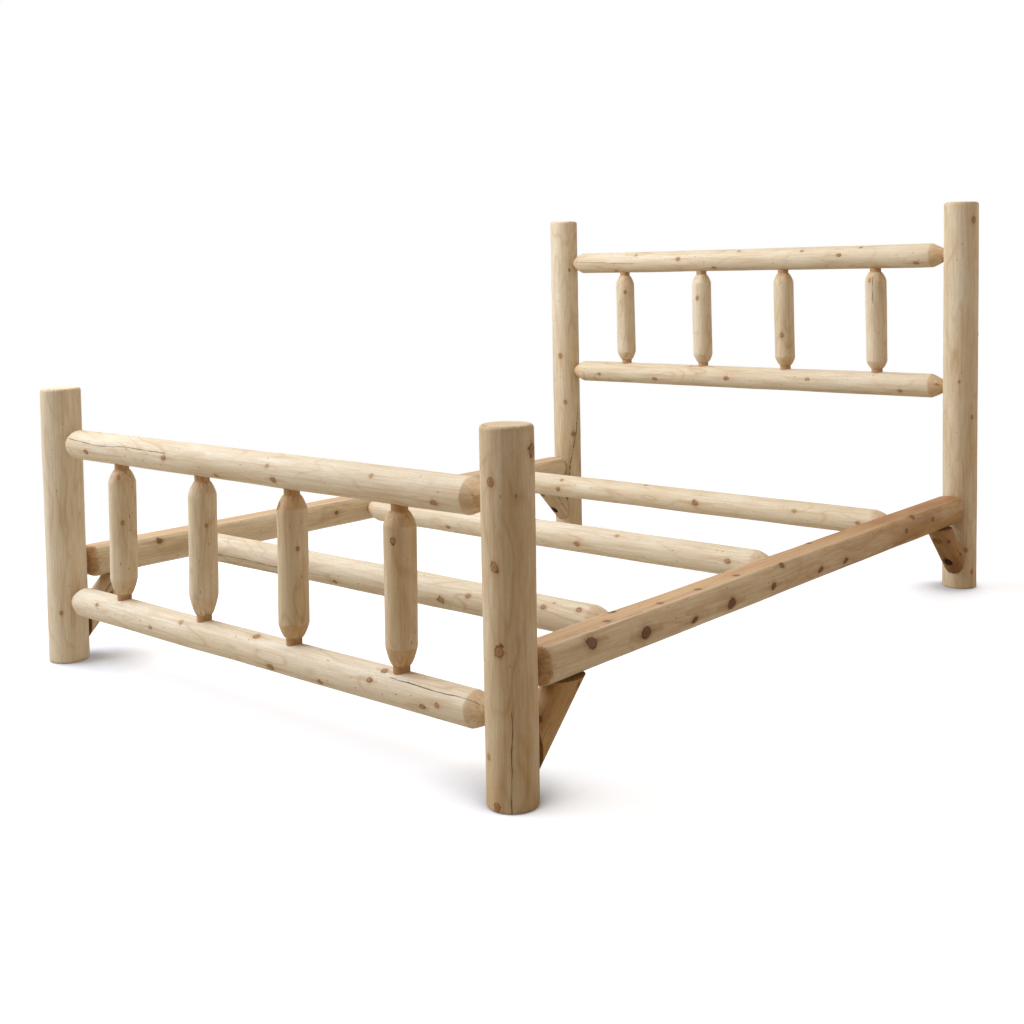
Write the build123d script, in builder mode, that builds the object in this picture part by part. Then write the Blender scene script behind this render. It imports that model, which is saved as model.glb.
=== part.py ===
from build123d import *
from math import sqrt
import os

os.makedirs("parts", exist_ok=True)

# A rustic log bed made of peeled logs, in millimetres.
# X runs across the bed, Y from the foot (-Y) to the head (+Y), Z up from the floor.
# The origin is on the floor, midway between the four posts.

# Posts
post_spacing_across = 1584.0
post_spacing_along = 2198.0
post_diameter = 106.0
foot_post_height = 739.0
head_post_height = 1219.0
post_top_round = 9.0
post_foot_round = 6.0

# Rails between the two posts of one end
foot_upper_rail_height = 592.0
foot_lower_rail_height = 169.0
head_upper_rail_height = 1055.0
head_lower_rail_height = 637.0
end_rail_diameter = 77.0
end_rail_shoulder = 40.0
end_rail_bulge = 1.5
end_rail_tenon_diameter = 38.0
end_rail_tenon_length = 62.0

# Spindles, evenly spaced between the rails of each end. The foot's have longer lower
# shoulders, shaved by hand to a length of their own.
spindle_pitch = 337.0
spindle_diameter = 69.0
spindle_upper_shoulder = 31.0
foot_spindle_lower_shoulders = (43.0, 50.0, 37.0, 41.0)
head_spindle_lower_shoulders = (31.0, 31.0, 31.0, 31.0)
spindle_bulge = 1.2
spindle_neck = 11.0
spindle_tenon_diameter = 36.0
spindle_tenon_length = 44.0

# Side rails, sawn flat along the top
side_rail_height = 259.0
side_rail_flat_height = 297.0
side_rail_diameter = 96.0
side_rail_shoulder = 34.0
side_rail_bulge = 5.0
side_rail_tenon_diameter = 50.0
side_rail_tenon_length = 64.0

# Cross logs between the side rails
cross_log_places = (-708.0, -13.0, 692.0)
cross_log_height = 257.0
cross_log_diameter = 78.0
cross_log_shoulder = 48.0
cross_log_bulge = 2.5
cross_log_tenon_diameter = 38.0
cross_log_tenon_length = 42.0

# Corner braces, at 45 degrees from post to side rail
brace_diameter = 74.0
brace_reach = 212.0
brace_let_into_post = 3.0
brace_let_into_rail = 0.5
brace_screw_inset = 45.0
brace_web = 22.0

# Lag screws and flat washers that hold the braces
screw_diameter = 9.5
screw_point = 10.0
screw_point_angle = 22.0
screw_head_across_flats = 14.3
screw_head_height = 6.4
screw_head_chamfer = 1.0
post_screw_length = 76.0
rail_screw_length = 60.0
washer_outer_diameter = 25.0
washer_hole_diameter = 10.5
washer_thickness = 2.0
counterbore_diameter = 29.0
counterbore_run = 42.0

# Clearances and edge breaks of the joinery
mortise_clearance = 0.25
mortise_end_gap = 2.0
seat_clearance = 0.2
pilot_clearance = 0.05
pilot_end_gap = 2.0
tenon_chamfer = 3.0

post_x = post_spacing_across / 2
post_y = post_spacing_along / 2
post_radius = post_diameter / 2
end_rail_radius = end_rail_diameter / 2
side_rail_radius = side_rail_diameter / 2
side_rail_bottom = side_rail_height - side_rail_radius
screw_radius = screw_diameter / 2

# The brace's lower edge line, where it meets the post's face and the rail's underside
brace_edge_offset = brace_diameter / 2 * sqrt(2)
brace_toe_height = side_rail_height - brace_reach + post_radius - brace_edge_offset
brace_toe_run = side_rail_bottom - side_rail_height + brace_reach + brace_edge_offset
post_screw_height = brace_toe_height + brace_screw_inset
rail_screw_run = brace_toe_run - brace_screw_inset

sides = (("left", -1), ("right", 1))
ends = (("foot", -1), ("head", 1))
post_heights = {"foot": foot_post_height, "head": head_post_height}
rail_heights = {
    "foot": {"lower": foot_lower_rail_height, "upper": foot_upper_rail_height},
    "head": {"lower": head_lower_rail_height, "upper": head_upper_rail_height},
}
spindle_lower_shoulders = {"foot": foot_spindle_lower_shoulders, "head": head_spindle_lower_shoulders}
spindle_places = [steps * spindle_pitch for steps in (-1.5, -0.5, 0.5, 1.5)]


def turn_log(middle, along, half_span, body_radius, shoulders, bulge, neck, tenon_radius, tenon_length):
    """Turn a log with a tapered shoulder, a neck and a round tenon at each end.

    middle is the midpoint of the log's axis, along its direction, and half_span
    the distance from there to the faces that the tenons enter. shoulders holds
    the lengths of the first and the last shoulder, and bulge is how far their
    middles stand proud of a straight cone.
    """
    across = Vector(1, 0, 0) if abs(along.Z) > 0.5 else Vector(0, 0, 1)
    lengthwise = Plane(origin=middle, x_dir=along, z_dir=along.cross(across))
    first_shoulder, last_shoulder = shoulders
    neck_at = half_span - neck
    body_start = first_shoulder - neck_at
    body_end = neck_at - last_shoulder
    tenon_end = half_span + tenon_length
    bulge_radius = (body_radius + tenon_radius) / 2 + bulge
    with BuildSketch(lengthwise) as profile:
        with BuildLine():
            Line((body_start, body_radius), (body_end, body_radius))
            ThreePointArc(
                (body_end, body_radius),
                (body_end + last_shoulder / 2, bulge_radius),
                (neck_at, tenon_radius),
            )
            Polyline(
                (neck_at, tenon_radius),
                (tenon_end - tenon_chamfer, tenon_radius),
                (tenon_end, tenon_radius - tenon_chamfer),
                (tenon_end, 0),
                (-tenon_end, 0),
                (-tenon_end, tenon_radius - tenon_chamfer),
                (-tenon_end + tenon_chamfer, tenon_radius),
                (-neck_at, tenon_radius),
            )
            ThreePointArc(
                (-neck_at, tenon_radius),
                (body_start - first_shoulder / 2, bulge_radius),
                (body_start, body_radius),
            )
        make_face()
    revolve(profile.sketch, axis=Axis(middle, along))


def bore(mouth, outward, radius, depth):
    """Bore a blind hole inwards from its mouth."""
    with Locations(Plane(origin=mouth, z_dir=outward)):
        Hole(radius, depth)


def drive_lag_screw(seat, length):
    """Make a hex lag screw whose head stands on the seat plane, its shank behind the plane."""
    with BuildSketch(seat) as head:
        RegularPolygon(screw_head_across_flats / 2, 6, major_radius=False)
    extrude(head.sketch, amount=screw_head_height)
    head_top = faces(Select.LAST).sort_by(Axis(seat.origin, seat.z_dir))[-1]
    chamfer(head_top.edges(), screw_head_chamfer)
    with BuildSketch(seat) as shank:
        Circle(screw_radius)
    extrude(shank.sketch, amount=screw_point - length)
    with BuildSketch(seat.offset(screw_point - length)) as point:
        Circle(screw_radius)
    extrude(point.sketch, amount=-screw_point, taper=screw_point_angle)


def finish(piece, name):
    """Label a piece and write its file."""
    piece.part.label = name
    export_step(piece.part, f"parts/{name}.step")


# Posts, bored for the end rails, the side rail and the brace's lag screw
for end, y_side in ends:
    for side, x_side in sides:
        x = x_side * post_x
        y = y_side * post_y
        with BuildPart() as post:
            with BuildSketch(Plane.XY):
                with Locations((x, y)):
                    Circle(post_radius)
            extrude(amount=post_heights[end])
            fillet(edges().group_by(Axis.Z)[-1], post_top_round)
            fillet(edges().group_by(Axis.Z)[0], post_foot_round)
            for rail_height in rail_heights[end].values():
                bore(
                    (x - x_side * post_radius, y, rail_height),
                    (-x_side, 0, 0),
                    end_rail_tenon_diameter / 2 + mortise_clearance,
                    end_rail_tenon_length + mortise_end_gap,
                )
            bore(
                (x, y - y_side * post_radius, side_rail_height),
                (0, -y_side, 0),
                side_rail_tenon_diameter / 2 + mortise_clearance,
                side_rail_tenon_length + mortise_end_gap,
            )
            bore(
                (x, y - y_side * post_radius, post_screw_height),
                (0, -y_side, 0),
                screw_radius + pilot_clearance,
                post_screw_length - brace_web - washer_thickness + pilot_end_gap,
            )
        finish(post, f"{end}_post_{side}")

# Rails between the two posts of each end, bored for the spindles
for end, y_side in ends:
    for level, height in rail_heights[end].items():
        toward_spindles = -1 if level == "upper" else 1
        with BuildPart() as end_rail:
            turn_log(
                Vector(0, y_side * post_y, height),
                Vector(1, 0, 0),
                post_x - post_radius,
                end_rail_radius,
                (end_rail_shoulder, end_rail_shoulder),
                end_rail_bulge,
                0,
                end_rail_tenon_diameter / 2,
                end_rail_tenon_length,
            )
            for x in spindle_places:
                bore(
                    (x, y_side * post_y, height + toward_spindles * end_rail_radius),
                    (0, 0, toward_spindles),
                    spindle_tenon_diameter / 2 + mortise_clearance,
                    spindle_tenon_length + mortise_end_gap,
                )
        finish(end_rail, f"{end}_rail_{level}")

# Spindles
for end, y_side in ends:
    lower = rail_heights[end]["lower"]
    upper = rail_heights[end]["upper"]
    for number, (x, lower_shoulder) in enumerate(zip(spindle_places, spindle_lower_shoulders[end]), start=1):
        with BuildPart() as spindle:
            turn_log(
                Vector(x, y_side * post_y, (lower + upper) / 2),
                Vector(0, 0, 1),
                (upper - lower) / 2 - end_rail_radius,
                spindle_diameter / 2,
                (lower_shoulder, spindle_upper_shoulder),
                spindle_bulge,
                spindle_neck,
                spindle_tenon_diameter / 2,
                spindle_tenon_length,
            )
        finish(spindle, f"{end}_spindle_{number}")

# Side rails, sawn flat on top, bored for the cross logs and the braces' lag screws
for side, x_side in sides:
    x = x_side * post_x
    with BuildPart() as side_rail:
        turn_log(
            Vector(x, 0, side_rail_height),
            Vector(0, 1, 0),
            post_y - post_radius,
            side_rail_radius,
            (side_rail_shoulder, side_rail_shoulder),
            side_rail_bulge,
            0,
            side_rail_tenon_diameter / 2,
            side_rail_tenon_length,
        )
        split(bisect_by=Plane.XY.offset(side_rail_flat_height), keep=Keep.BOTTOM)
        for y in cross_log_places:
            bore(
                (x - x_side * side_rail_radius, y, cross_log_height),
                (-x_side, 0, 0),
                cross_log_tenon_diameter / 2 + mortise_clearance,
                cross_log_tenon_length + mortise_end_gap,
            )
        for end, y_side in ends:
            bore(
                (x, y_side * (post_y - rail_screw_run), side_rail_bottom),
                (0, 0, -1),
                screw_radius + pilot_clearance,
                rail_screw_length - brace_web - washer_thickness + pilot_end_gap,
            )
    finish(side_rail, f"side_rail_{side}")

# Cross logs
for place, y in zip(("foot", "middle", "head"), cross_log_places):
    with BuildPart() as cross_log:
        turn_log(
            Vector(0, y, cross_log_height),
            Vector(1, 0, 0),
            post_x - side_rail_radius,
            cross_log_diameter / 2,
            (cross_log_shoulder, cross_log_shoulder),
            cross_log_bulge,
            0,
            cross_log_tenon_diameter / 2,
            cross_log_tenon_length,
        )
    finish(cross_log, f"cross_log_{place}")

# Braces, mitred to the post's face and the side rail's underside and let in a little
for end, y_side in ends:
    for side, x_side in sides:
        x = x_side * post_x
        y = y_side * post_y
        inward = -y_side
        post_foot = Vector(x, y, side_rail_height - brace_reach)
        along = Vector(0, inward, 1)
        post_seat = Plane(
            origin=(x, y + inward * (post_radius - brace_let_into_post), side_rail_height),
            z_dir=(0, inward, 0),
        )
        rail_seat = Plane.XY.offset(side_rail_bottom + brace_let_into_rail)
        with BuildPart() as brace:
            with BuildSketch(Plane(origin=post_foot, z_dir=along)):
                Circle(brace_diameter / 2)
            extrude(amount=brace_reach * sqrt(2))
            split(bisect_by=post_seat, keep=Keep.TOP)
            split(bisect_by=rail_seat, keep=Keep.BOTTOM)
            with Locations(Plane(origin=(x, y, side_rail_height))):
                Cylinder(post_radius + seat_clearance, 2 * side_rail_height, mode=Mode.SUBTRACT)
            with Locations(Plane(origin=(x, y, side_rail_height), z_dir=(0, 1, 0))):
                Cylinder(side_rail_radius + seat_clearance, post_spacing_along, mode=Mode.SUBTRACT)
            with Locations(
                Plane(
                    origin=(x, y + inward * (post_radius + brace_web + counterbore_run), post_screw_height),
                    z_dir=(0, inward, 0),
                ),
                Plane(
                    origin=(x, y + inward * rail_screw_run, side_rail_bottom - brace_web - counterbore_run),
                    z_dir=(0, 0, -1),
                ),
            ):
                CounterBoreHole(washer_hole_diameter / 2, counterbore_diameter / 2, counterbore_run)
        finish(brace, f"brace_{end}_{side}")

# The planes at the bottoms of the counterbores, facing out of them
post_screw_seats = []
rail_screw_seats = []
for end, y_side in ends:
    for side, x_side in sides:
        x = x_side * post_x
        y = y_side * post_y
        inward = -y_side
        post_screw_seats.append(
            Plane(
                origin=(x, y + inward * (post_radius + brace_web), post_screw_height),
                z_dir=(0, inward, 0),
            )
        )
        rail_screw_seats.append(
            Plane(
                origin=(x, y + inward * rail_screw_run, side_rail_bottom - brace_web),
                z_dir=(0, 0, -1),
            )
        )

# Flat washers
with BuildPart() as washers:
    for seat in post_screw_seats + rail_screw_seats:
        with BuildSketch(seat):
            Circle(washer_outer_diameter / 2)
            Circle(washer_hole_diameter / 2, mode=Mode.SUBTRACT)
        extrude(amount=washer_thickness)
finish(washers, "brace_washers")

# Lag screws from the braces into the posts and up into the side rails
with BuildPart() as post_screws:
    for seat in post_screw_seats:
        drive_lag_screw(seat.offset(washer_thickness), post_screw_length)
finish(post_screws, "brace_to_post_screws")

with BuildPart() as rail_screws:
    for seat in rail_screw_seats:
        drive_lag_screw(seat.offset(washer_thickness), rail_screw_length)
finish(rail_screws, "brace_to_rail_screws")
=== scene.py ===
from functools import partial
from math import cos, pi, radians, sin
from random import Random

import bmesh
import bpy
from mathutils import Matrix, Vector
from mathutils.bvhtree import BVHTree
from mathutils.interpolate import poly_3d_calc


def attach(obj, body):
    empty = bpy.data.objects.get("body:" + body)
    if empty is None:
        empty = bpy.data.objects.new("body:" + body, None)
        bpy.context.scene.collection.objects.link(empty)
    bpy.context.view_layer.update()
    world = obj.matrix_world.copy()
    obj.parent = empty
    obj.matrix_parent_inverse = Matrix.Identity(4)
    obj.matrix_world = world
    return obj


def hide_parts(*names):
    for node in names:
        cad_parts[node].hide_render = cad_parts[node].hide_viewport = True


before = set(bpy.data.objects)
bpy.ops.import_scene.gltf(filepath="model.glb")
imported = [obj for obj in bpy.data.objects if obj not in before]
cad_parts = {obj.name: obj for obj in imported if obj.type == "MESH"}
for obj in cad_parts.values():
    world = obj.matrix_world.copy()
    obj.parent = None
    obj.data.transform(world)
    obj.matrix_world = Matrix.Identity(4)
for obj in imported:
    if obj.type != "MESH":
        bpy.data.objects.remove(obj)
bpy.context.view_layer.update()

mm = 0.001  # sizes below are in millimetres and the scene is in metres
scene = bpy.context.scene


def addNode(tree, kind, inputs=(), **settings):
    # A kind without the word Node is a shader node's, and a list of inputs goes to the sockets in order
    node = tree.nodes.new(kind if "Node" in kind else "ShaderNode" + kind)
    for name, value in settings.items():
        setattr(node, name, value)
    if not isinstance(inputs, dict):
        inputs = dict(enumerate(inputs))
    for name, value in inputs.items():
        if isinstance(name, int):
            socket = node.inputs[name]
        else:
            socket = next(s for s in node.inputs if s.name == name and s.enabled)
        if isinstance(value, bpy.types.Node):
            value = next(s for s in value.outputs if s.enabled)
        if isinstance(value, bpy.types.NodeSocket):
            tree.links.new(value, socket)
        else:
            socket.default_value = value
    return node


def newMaterial(name):
    material = bpy.data.materials.new(name)
    material.use_nodes = True
    material.node_tree.nodes.clear()
    return material, partial(addNode, material.node_tree)


def paint(hexColour):
    channels = [int(hexColour[i:i + 2], 16) / 255 for i in (1, 3, 5)]
    return [c / 12.92 if c <= 0.04045 else ((c + 0.055) / 1.055) ** 2.4 for c in channels] + [1.0]


# Camera, at eye height off the bed's foot corner

camera = {
    "place": (2.4045, -2.9589, 1.0229),  # metres
    "heading": 40.63,  # degrees, anticlockwise from +Y
    "tilt": 3.931,  # degrees below level
    "roll": -1.028,
    "lens": 46.02,
    "sensor": 36,
    "shift": -0.1456,
}

cameraObject = bpy.data.objects.new("camera", bpy.data.cameras.new("camera"))
scene.collection.objects.link(cameraObject)
cameraObject.matrix_world = (
    Matrix.Translation(camera["place"])
    @ Matrix.Rotation(radians(camera["heading"]), 4, "Z")
    @ Matrix.Rotation(radians(90 - camera["tilt"]), 4, "X")
    @ Matrix.Rotation(radians(camera["roll"]), 4, "Z")
)
cameraObject.data.lens = camera["lens"]
cameraObject.data.sensor_width = camera["sensor"]
cameraObject.data.shift_y = camera["shift"]
scene.camera = cameraObject

# Studio: a strong soft light from the left, weak ones overhead and from the right, and a pale cove all round

studio = {
    "lamps": {  # place and size in metres, and aim is the height that a lamp looks at over the floor's middle
        "overhead": {
            "place": (-0.5, -0.3, 4.0), "aim": 0.3, "size": (3.0, 3.0), "power": 57, "tint": "#FFFDFA",
        },
        "left": {
            "place": (-3.5, -3.1, 4.2), "aim": 0.4, "size": (4.2, 3.4), "power": 372, "tint": "#E9F0FF",
        },
        "right": {
            "place": (4.4, 3.0, 1.4), "aim": 0.4, "size": (2.0, 2.6), "power": 36, "tint": "#FFF0E2",
        },
    },
    "coveLevel": 0.25,
    "covePaint": "#FFDDBC",
    "floorPaint": "#A6A7AC",  # what the camera sees
    "bouncePaint": "#D1CABD",  # what lights the bed from below
    "floorGlow": 0.84,  # lifts the seen floor to near white
    "floorCorner": 0.22,  # metres, how near a thing shades the floor
    "floorTilt": 0.28,  # per metre from the middle, and it draws the shade to the inner sides of the posts
    "floorShade": {"From Min": 0.5, "From Max": 0.93, "To Min": 0.22},
    "floorFade": {"From Min": 1.9, "From Max": 2.9},  # metres from the middle
    "floorRadius": 14.0,
}

for name, lamp in studio["lamps"].items():
    light = bpy.data.lights.new(name + "Softbox", "AREA")
    light.shape = "RECTANGLE"
    light.size, light.size_y = lamp["size"]
    light.energy = lamp["power"]
    light.color = paint(lamp["tint"])[:3]
    lampObject = bpy.data.objects.new(name + "Softbox", light)
    direction = Vector((0.0, 0.0, lamp["aim"])) - Vector(lamp["place"])
    turn = direction.to_track_quat("-Z", "Y").to_matrix().to_4x4()
    lampObject.matrix_world = Matrix.Translation(lamp["place"]) @ turn
    scene.collection.objects.link(lampObject)

white = paint("#FFFFFF")
world = bpy.data.worlds.new("studioCove")
world.use_nodes = True
world.node_tree.nodes.clear()
add = partial(addNode, world.node_tree)
ray = add("LightPath").outputs
shown = ray["Is Camera Ray"]
for kind in ("Is Glossy Ray", "Is Transmission Ray"):
    shown = add("Math", [shown, ray[kind]], operation="MAXIMUM")
level = add("Mix", {"Factor": shown, "A": studio["coveLevel"], "B": 1.0}, data_type="FLOAT")
hue = add("Mix", {"Factor": shown, "A": paint(studio["covePaint"]), "B": white}, data_type="RGBA")
cove = add("Background", {"Color": hue, "Strength": level})
add("OutputWorld", {"Surface": cove})
scene.world = world

# The floor takes the lamps' shadow and a painted shade from occlusion, and fades to plain white well outside
# it
floorMaterial, add = newMaterial("paleFloor")
isSeen = add("LightPath").outputs["Is Camera Ray"]
spot = add("TexCoord").outputs["Object"]
away = add("VectorMath", [spot], operation="LENGTH").outputs["Value"]
tilt = (studio["floorTilt"], studio["floorTilt"], 0)
outward = add("VectorMath", [spot, tilt, (0, 0, 1)], operation="MULTIPLY_ADD")
outward = add("VectorMath", [outward], operation="NORMALIZE")
# Ambient occlusion darkens the glow near the bed's parts: a painted shade, not a lamp's shadow
clear = add("AmbientOcclusion", {"Distance": studio["floorCorner"], "Normal": outward}, samples=16)
clear = add("MapRange", {
    "Value": clear.outputs["AO"], **studio["floorShade"],
}, interpolation_type="SMOOTHSTEP")
glow = add("Math", [isSeen, studio["floorGlow"]], operation="MULTIPLY")
glow = add("Math", [glow, clear], operation="MULTIPLY")
hue = add("Mix", {
    "Factor": isSeen, "A": paint(studio["bouncePaint"]), "B": paint(studio["floorPaint"]),
}, data_type="RGBA")
lit = add("BsdfDiffuse", {"Color": hue})
lift = add("Emission", {"Color": white, "Strength": glow})
near = add("AddShader", [lit, lift])
far = add("Emission", {"Color": white, "Strength": 1.0})
fade = add("MapRange", {"Value": away, **studio["floorFade"]}, interpolation_type="SMOOTHSTEP")
fade = add("Math", [fade, isSeen], operation="MULTIPLY")
surface = add("MixShader", [fade, near, far])
add("OutputMaterial", {"Surface": surface})

disc = bmesh.new()
bmesh.ops.create_circle(disc, cap_ends=True, segments=96, radius=studio["floorRadius"])
floorMesh = bpy.data.meshes.new("floor")
disc.to_mesh(floorMesh)
disc.free()
floorMesh.materials.append(floorMaterial)
floorObject = bpy.data.objects.new("floor", floorMesh)
scene.collection.objects.link(floorObject)
print("studio and camera set")

# Wood. Each log carries attributes that its tree stores: grain, the place in the log in metres with Z along
# it; knot, how far the nearest knot's middle is across and in all, in knot radii; check, how far the nearest
# drying check is across and in all, in mm; faces, how many rings past a shoulder's ridge, how many mm above
# the sawn flat and whether on the end grain; and tone, how brown the log is, how much its cut shoulders show
# and how dark the nearest knot is.

# How each noise is stretched, with Z along the log, and its scale per metre
woodNoise = {
    "patch": ((1, 1, 0.24), {"Scale": 17, "Detail": 3, "Roughness": 0.55}),  # 60 mm round, 250 mm along
    "mottle": ((1, 1, 0.4), {"Scale": 66, "Detail": 5, "Roughness": 0.65, "Distortion": 0.5}),  # 15 mm
    "layer": ((1, 1, 0.24), {"Scale": 11, "Detail": 1.5, "Roughness": 0.45, "Distortion": 0.3}),  # 90 mm
    "fibre": ((1, 1, 0.035), {"Scale": 330, "Detail": 2.5, "Roughness": 0.6}),  # 3 mm, coarse to be seen
    "streak": ((1, 1, 0.035), {"Scale": 90, "Detail": 3, "Roughness": 0.6}),  # 11 mm
    "band": ((1, 1, 0.035), {"Scale": 190, "Detail": 2, "Roughness": 0.5}),  # 5 mm
    "smudge": ((1, 1, 0.24), {"Scale": 24, "Detail": 5, "Roughness": 0.7, "Distortion": 0.4}),  # 40 mm
    "grit": ((1, 1, 0.35), {"Scale": 420, "Detail": 2, "Roughness": 0.6}),  # 2 mm
    "speck": ((1, 1, 1), {"Scale": 130, "Detail": 2}),  # 8 mm
    "rimPatch": ((1, 1, 1), {"Scale": 75, "Detail": 1}),  # 13 mm
    "ragged": ((1, 1, 1), {"Scale": 95, "Detail": 4, "Roughness": 0.7}),  # 11 mm
    "gape": ((1, 1, 1), {"Scale": 28, "Detail": 2}),  # 36 mm
    "torn": ((1, 1, 0.15), {"Scale": 170, "Detail": 3, "Roughness": 0.6}),  # 6 mm
    "cutPatch": ((1, 1, 0.5), {"Scale": 45, "Detail": 4, "Roughness": 0.6}),  # 22 mm
    "plank": ((1, 0, 0.02), {"Scale": 150, "Detail": 3, "Roughness": 0.6, "Distortion": 0.4}),  # 7 mm
}


def logWood(name, look):
    material, add = newMaterial(name)
    grain = add("Attribute", attribute_name="grain").outputs["Vector"]
    stored = {}
    for key in ("tone", "knot", "check", "faces"):
        vector = add("Attribute", attribute_name=key).outputs["Vector"]
        stored[key] = add("SeparateXYZ", [vector]).outputs
    tone, knot, check, faces = stored.values()
    noise = {}
    for key, (stretch, settings) in woodNoise.items():
        stretched = add("VectorMath", [grain, stretch], operation="MULTIPLY")
        noise[key] = add("TexNoise", {"Vector": stretched, **settings})

    # Growth rings met by the surface at a glancing angle, drawn as thin closed lines like a map's contours
    layer = add("Math", [noise["layer"], look["ringLines"]], operation="MULTIPLY")
    layer = add("Math", [layer, 0.5], operation="PINGPONG")

    # Flecks where the peeling knife dug in, up to 3 mm wide, in a fifth of the cells, which are 12 mm wide
    short = add("VectorMath", [grain, (1, 1, 0.35)], operation="MULTIPLY")
    cell = add("TexVoronoi", {"Vector": short, "Scale": 85}).outputs
    chosen = add("SeparateColor", [cell["Color"]]).outputs["Red"]
    chosen = add("Math", [chosen, 0.78], operation="GREATER_THAN")

    # How far a place is from a knot's middle, made uneven, and from the line along the log through it
    wobble = add("Math", [noise["speck"], 0.5, knot["Z"]], operation="MULTIPLY_ADD")
    wobble = add("Math", [wobble, 0.25], operation="SUBTRACT")
    beside = add("Math", [wobble, 1.12, 0.2], operation="COMPARE")
    aside = add("Math", [knot["X"]], operation="ABSOLUTE")

    # How far it is from a check's ragged line, in mm
    ragged = add("Math", [noise["ragged"], 2.6, check["X"]], operation="MULTIPLY_ADD")
    ragged = add("Math", [ragged, 1.3], operation="SUBTRACT")
    ragged = add("Math", [ragged], operation="ABSOLUTE")

    # How far it is past a shoulder's ridge, and from the arris 0.8 mm below the sawn flat, whose pale line is
    # wear and a painted highlight
    past = add("Math", [faces["X"], look["cutStart"]], operation="SUBTRACT")
    fromArris = add("Math", [faces["Y"], -0.8], operation="SUBTRACT")
    fromArris = add("Math", [fromArris], operation="ABSOLUTE")

    # Turning marks 2.4 mm apart on the cut shoulders, and rings 7 mm apart on the end grain
    turned = add("TexWave", {
        "Vector": grain, "Scale": 130, "Distortion": 1.2, "Detail": 2,
    }, bands_direction="Z")
    across = add("VectorMath", [grain, (1, 1, 0)], operation="MULTIPLY")
    rings = add("TexWave", {
        "Vector": across, "Scale": 46, "Distortion": 2.0, "Detail": 2, "Detail Scale": 0.6,
    }, wave_type="RINGS", rings_direction="Z")

    # Masks: each ramp turns a span of its source into a share, and then some masks are multiplied together
    mask = {
        "chosen": chosen, "beside": beside, "turned": turned, "rings": rings,
        "brownShare": tone["X"], "cutShare": tone["Y"], "knotShare": tone["Z"],
    }
    for key, source, low, high, start, end in (
        ("patches", noise["patch"], 0.36, 0.66, 0, 1),
        ("shade", noise["patch"], 0.36, 0.66, 0, look["patchy"]),
        ("blotches", noise["patch"], 0.36, 0.66, 0.65, 1.35),
        ("pinker", noise["mottle"], 0.5, 0.72, 0, look["mottled"]),  # sanded unevenly through the outer rings
        ("greyer", noise["mottle"], 0.5, 0.3, 0, look["mottled"]),
        ("lines", layer, 0, 0.16, 0.62, 0),
        ("fibres", noise["fibre"], 0.38, 0.7, 0, 0.42),
        ("streaks", noise["streak"], 0.52, 0.72, 0, 0.45),
        ("darkBands", noise["band"], 0.5, 0.68, 0, 0.4),
        ("paleBands", noise["band"], 0.5, 0.34, 0, 0.35),
        ("smudges", noise["smudge"], 0.58, 0.74, 0, 0.6),  # stains left under the bark
        ("grits", noise["grit"], 0.45, 0.7, 0, 0.35),
        ("flecks", cell["Distance"], 0.07, 0.15, 0.8, 0),
        ("eye", wobble, 0.85, 1.1, 1, 0),
        ("rim", wobble, 0.6, 0.9, 0, 1),
        ("rimPatches", noise["rimPatch"], 0.35, 0.55, 0, 1),
        ("heart", wobble, 0.05, 0.35, 0.8, 0),
        ("bark", noise["rimPatch"], 0.58, 0.66, 0, 0.9),  # left beside some knots
        ("collar", wobble, 1, 2.2, 0.6, 0),
        ("tail", aside, 0, 0.9, 1, 0),  # a tan streak along the log
        ("tailReach", knot["Z"], 1, 8, 0.8, 0),
        ("gape", noise["gape"], 0.38, 0.6, 0.5, 1.7),  # mm
        # the near-black line along a check is painted shade in its narrow gap
        ("cracks", ragged, 0, "gape", 1, 0),
        ("crackReach", check["Z"], 4, 7, 1, 0),
        ("frayed", noise["smudge"], 0.38, 0.62, 0.05, look["cutFray"]),
        ("cut", past, 0, "frayed", 0, 1),
        # darker brown where a neck goes into its rail: painted shade at the joint, over the torn fibres'
        # brown
        ("neck", faces["X"], 8.5, 10.4, 0, 0.8),
        ("torn", noise["torn"], 0.47, 0.62, 0, 0.75),
        ("downShoulder", faces["X"], 1, 9, 0, 1),
        ("cutDark", noise["cutPatch"], 0.42, 0.66, 0, 1),
        ("flat", faces["Y"], 0, 0.5, 0, 1),
        ("plankLines", noise["plank"], 0.45, 0.68, 0, 1),  # long lines that the saw left
        # a pale line along the arris: wear, and a painted highlight where the edge catches the light
        ("arris", fromArris, 0.9, 2.4, 0.95, 0),
        ("endGrain", faces["Z"], -0.05, 0.1, 0, 1),
    ):
        mask[key] = add("MapRange", {
            "Value": source, "From Min": low, "From Max": mask.get(high, high),
            "To Min": start, "To Max": end,
        })
    for key, *others in (
        ("lines", "patches"),
        ("flecks", "chosen"),
        ("rim", "eye", "rimPatches"),
        ("bark", "beside"),
        ("tail", "tailReach"),
        *((key, "knotShare") for key in ("eye", "rim", "heart", "bark", "collar", "tail")),
        ("cracks", "crackReach"),
        ("cut", "cutShare"),
        ("torn", "downShoulder"),
        ("cutDark", "cut"),
        ("turned", "cut", 0.3),
        ("plankLines", "flat"),
        ("rings", "endGrain", 0.45),
        ("blotches", "brownShare"),
    ):
        for other in others:
            mask[key] = add("Math", [mask[key], mask.get(other, other)], operation="MULTIPLY")
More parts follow.
